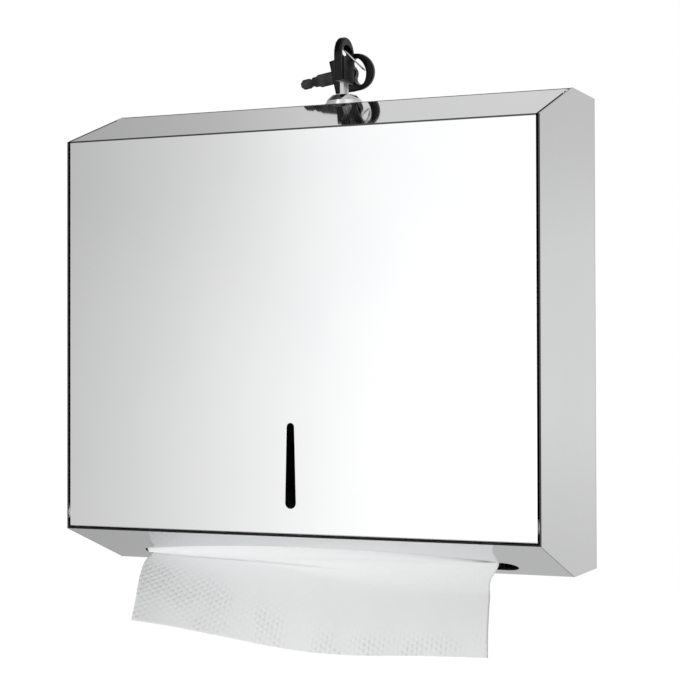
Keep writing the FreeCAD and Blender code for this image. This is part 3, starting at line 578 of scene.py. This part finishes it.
def towel_points(columns=180):
    """The ribbon's profile at each place across, as rows of points in millimetres.

    The band from start to crease sags by a half sine, the corner is a quadratic curve from
    before the crease to after it, the front leaf bellies forward by a half sine, and the rear
    leaf lies a leaf's gap behind it and climbs straight into the slot.
    """
    across = np.linspace(-1, 1, columns)
    x = MIDDLE + HALF_WIDTH * across
    left, right = ((1 - across) / 2) ** 6, ((1 + across) / 2) ** 6
    start, crease, edge, top = towel_lines(across)
    reach = (0.9 + 10.0 * fading(across))[:, None]
    before = crease - unit(crease - start) * reach
    after = crease + unit(edge - crease) * reach

    t = stretch(16, endpoint=False)
    band = start + (before - start) * t + 1.5 * np.sin(math.pi * t) * OUTWARDS
    band[..., 0] += 6.5 * right * np.sin(math.pi * t[..., 0] / 2)
    t = stretch(10, endpoint=False)
    corner = (1 - t) ** 2 * before + 2 * t * (1 - t) * crease + t ** 2 * after
    corner[..., 0] += 6.5 * right * (1 - np.clip(t[..., 0] / 0.75, 0, 1) ** 2) ** 2

    sway = 0.9 * np.sin(x / 31.0 - 0.6) + 0.55 * np.sin(x / 13.0 + 0.8) + 0.35 * np.sin(x / 5.6 + 2.0)
    sway = 0.6 * sway[:, None] * FORWARDS
    t = stretch(44, endpoint=False)
    front = after + (edge - after) * t + 1.2 * np.sin(math.pi * t) * FORWARDS + t * sway
    t = t[..., 0]
    front[..., 0] += left * (2.6 * (t - 1 + (1 - t) ** 14) - 15 * t * (1 - t) ** 3)

    gap = np.array([0, LEAF_GAP, 0])
    t = stretch(8, 0, math.pi, endpoint=False)
    fold = edge + sway + gap / 2 - gap / 2 * np.cos(t) + np.array([0, 0, -0.35]) * np.sin(t)
    rear = front[::-1] + gap
    climb = rear[-1] + (top - rear[-1]) * stretch(10)[1:]
    return np.concatenate([band, corner, front, fold, rear, climb])


points = towel_points()
print("the hanging towel's grid has %d rows and %d columns" % points.shape[:2])

# %% [markdown]
# ## Building the hanging towel
#
# The length of paper along each profile is added up from its steps, and gives both the UV
# map, counted from the crease, and the size that the sheet was cut to. Solidify gives the
# ribbon the thickness of its plies.

# %% Build the hanging towel
PLY = 0.00022
CREASE_ROW = 21

steps =np.linalg.norm(np.diff(points, axis=0), axis=-1)
run = np.vstack([np.zeros(points.shape[1]), np.cumsum(steps, axis=0)])
sizes = np.stack([points[..., 0], run - run[CREASE_ROW]], axis=-1)
quads = grid_quads(np.arange(run.size).reshape(run.shape))
towel = paper_piece("hanging_towel", points.reshape(-1, 3), quads, sizes.reshape(-1, 2))
towel.data.shade_smooth()
skin = towel.modifiers.new("ply", "SOLIDIFY")
skin.thickness = PLY
skin.offset = 0
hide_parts("lead_towel")
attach(towel, "case")

# %% [markdown]
# ## The pile of towels
#
# With the door down, the pile shows as many thin folded sheets, each with its fold at the
# front or the back by turns. One towel's profile is a flat ring round a hairpin, carried
# across the pile as a grid. All towels come from one formula: their heights share out the
# space between the V-shaped floor and the level top, with small shifts from a seeded
# generator, so that no two edges line up.

# %% Shape of one folded towel
TOWELS = 22
LEAF_POINTS, TURN_POINTS = 14, 7
PILE_LEFT, PILE_RIGHT = -109.8, 97.8
PILE_FRONT, PILE_BACK = -90.3, -4.6
PILE_FLOOR, PILE_TOP = -130.7, -98.3


def pile_points(number, random, columns=22):
    """One folded towel in millimetres: a hairpin of two leaves, as a closed ring of points.

    Around the ring, depth goes there and back twice along the leaves, outside and inside, and
    height is the floor's height plus the towel's share of the room above it.
    """
    shift_y, shift_x = random.uniform(-0.9, 0.9, 2)
    back, front = PILE_BACK + 0.3 * shift_y, PILE_FRONT + shift_y
    if number % 2:
        back, front = front, back
    leaf = back + (front - back) * np.linspace(0, 1, LEAF_POINTS)
    turn = np.linspace(-math.pi / 2, math.pi / 2, TURN_POINTS)
    round_fold = np.sign(front - back) * np.cos(turn)
    ring_y = np.concatenate([leaf, front + 0.35 * round_fold, leaf[::-1],
                             leaf, front + 0.1 * round_fold, leaf[::-1]])
    flat = np.ones(LEAF_POINTS)
    height = np.concatenate([-0.5 * flat, 0.5 * np.sin(turn), 0.5 * flat,
                             0.14 * flat, -0.14 * np.sin(turn), -0.14 * flat])
    floor = np.maximum(PILE_FLOOR, slope_level(ring_y, 1.25))[:, None]
    share = ((number + 0.5 + 0.9 * height) / TOWELS)[:, None]
    x = np.linspace(PILE_LEFT, PILE_RIGHT, columns) + 0.15 * shift_x
    wave = 0.12 * np.sin(x / 17 + number) + 0.08 * np.sin(x / 7.3 + 2.1 * number)
    top = PILE_TOP + 0.2 * np.sin(x / 30)
    z = floor + share * (top - floor) + wave * share
    kept_in = np.clip(ring_y, PILE_FRONT - 0.6, PILE_BACK + 0.5)[:, None]
    y = kept_in + 0.25 * np.sin(x / 23 + 1.7 * number)
    return np.stack([np.broadcast_to(x, z.shape), y, z], axis=-1)


seeded = np.random.default_rng(7)
rings = np.stack([pile_points(number, seeded) for number in range(TOWELS)])
print("each of the %d towels is a ring of %d points in %d columns" % rings.shape[:3])

# %% [markdown]
# ## Building the pile
#
# Each towel is a closed tube round its profile, so the last row of its grid joins the first.
# Its two ends are closed by squares between the outside and the inside of the hairpin. The
# faces of one towel, shifted by its number of points, are the faces of the next.

# %% Build the pile
rows, columns = rings.shape[1:3]
index = np.arange(rows * columns).reshape(rows, columns)
quads = [grid_quads(np.vstack([index, index[:1]]))]
half = LEAF_POINTS * 2 + TURN_POINTS
for column in (0, columns - 1):
    outside, inside = index[:half, column], index[half:, column][::-1]
    quads.append(np.stack([outside[:-1], outside[1:], inside[1:], inside[:-1]], axis=-1))
quads = np.vstack(quads) + (np.arange(TOWELS) * index.size)[:, None, None]
places = rings.reshape(-1, 3)
pile = paper_piece("towel_pile", places, quads.reshape(-1, 4), places[:, :2])
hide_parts("towel_stack")
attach(pile, "case")
print("the pile holds", TOWELS, "towels")

# %% [markdown]
# ## The studio in the mirrors
#
# A polished cabinet shows its surroundings, so they are part of its finish. The world is a
# studio whose brightness depends on the direction: brighter towards the front and the right
# of a soft border, dimmer behind the cabinet, with a dark ceiling and a slightly darker
# ground. Each term below is one such area, and the reflections show their product.

# %% Brightness by direction
world = bpy.data.worlds.new("studio")
bpy.context.scene.world = world
world.use_nodes = True
studio = Socket(world.node_tree)
rightwards, backwards, upwards = studio.node("ShaderNodeTexCoord", output="Generated").apart()
brighter = rightwards.smooth(-0.60, -0.32)
ahead = backwards.smooth(-0.8, 0.2, 1.0, 0.0)
behind = backwards.smooth(0.3, 0.6)
walls = 0.44 + 0.27 * brighter + ahead * (0.10 + 0.38 * brighter)
near_ceiling = upwards.smooth(0.18, 0.38, 0.0, 0.9) * (1 - behind)
far_ceiling = upwards.smooth(0.54, 0.70, 0.0, 0.9) * behind
ceiling = 1 - (near_ceiling + far_ceiling) * rightwards.smooth(-0.2, 0.0, 1.0, 0.15)
ground = upwards.smooth(-0.30, -0.48, 1.0, 0.93 - 0.17 * brighter)
ground = ground * upwards.smooth(-0.58, -0.72, 1.0, 0.7)
fall = 1 - 0.16 * upwards.smooth(-0.03, 0.14) * rightwards.smooth(-0.46, -0.40, 1.0, 0.3)
beside = upwards.smooth(0.05, 0.15) + upwards.smooth(-0.02, -0.12)
corners = 1 - 0.15 * beside * rightwards.smooth(0.0, 0.2)
middle = 1 - 0.32 * rightwards.smooth(-0.29, 0.02) * rightwards.smooth(0.3, 0.6, 1.0, 0.0) * ahead
level = walls * ceiling * ground * fall * corners * middle
print("the studio has", len(world.node_tree.nodes), "nodes")

# %% [markdown]
# ## What each ray sees
#
# Paper and plastic need an even light rather than the studio's pattern, and the camera should
# see plain white behind everything. The light path tells the kinds of rays apart.

# %% Levels for scattered and camera rays
EVEN_LEVEL = 0.51

scattered = studio.node("ShaderNodeLightPath", output="Is Diffuse Ray")
seen = studio.node("ShaderNodeLightPath", output="Is Camera Ray")
level = level * (1 - scattered) + EVEN_LEVEL * scattered
level = level * (1 - seen) + seen
background = world.node_tree.nodes["Background"]
background.inputs["Color"].default_value = (1, 1, 1, 1)
world.node_tree.links.new(level.output, background.inputs["Strength"])
print("scattered light sees a level of", EVEN_LEVEL)

# %% [markdown]
# ## Floor
#
# The real cabinet hangs at chest height, so a pale matt floor lies far below it. The floor
# glows a little, so that the camera sees it as white as the background, and it still catches
# the cabinet's soft shadow.

# %% Pale floor
FLOOR_LEVEL, FLOOR_REACH = -1.3, 9


def pale_floor(start):
    seen = start.node("ShaderNodeLightPath", output="Is Camera Ray")
    return {"Emission Color": seen.blend((0.38, 0.38, 0.38), (0.68, 0.68, 0.68))}


floor_corners = [(x * FLOOR_REACH, y * FLOOR_REACH, FLOOR_LEVEL)
                 for x, y in ((-1, -1), (1, -1), (1, 1), (-1, 1))]
floor_mesh = bpy.data.meshes.new("floor")
floor_mesh.from_pydata(floor_corners, [], [(0, 1, 2, 3)])
floor_mesh.materials.append(finish("pale floor", pale_floor, Base_Color=(0.66, 0.66, 0.66, 1),
                                   Roughness=0.9, Emission_Strength=1.0))
floor = bpy.data.objects.new("floor", floor_mesh)
bpy.context.scene.collection.objects.link(floor)
floor.visible_glossy = False
print("the floor lies", -FLOOR_LEVEL, "m below the cabinet's middle")

# %% [markdown]
# ## Lamps
#
# A broad lamp at the front left gives the paper its shape, and a small one close below the
# towel's left half lifts the leaf that hangs in the cabinet's shade. Neither shows in the
# mirrors or to the camera.

# %% Two lamps
def softbox(name, place, size, watts):
    """A square area lamp that faces the middle of the cabinet."""
    lamp = bpy.data.lights.new(name, "AREA")
    lamp.size = size
    lamp.energy = watts
    stand = bpy.data.objects.new(name, lamp)
    bpy.context.scene.collection.objects.link(stand)
    stand.location = place
    stand.rotation_mode = "QUATERNION"
    stand.rotation_quaternion = Vector(place).to_track_quat("Z", "Y")
    stand.visible_glossy = False
    stand.visible_camera = False
    print(name, "gives", watts, "W")


softbox("key_light", (-1.1, -1.4, 0.3), 0.5, 4)
softbox("low_light", (-0.18, -0.37, -0.36), 0.15, 0.5)
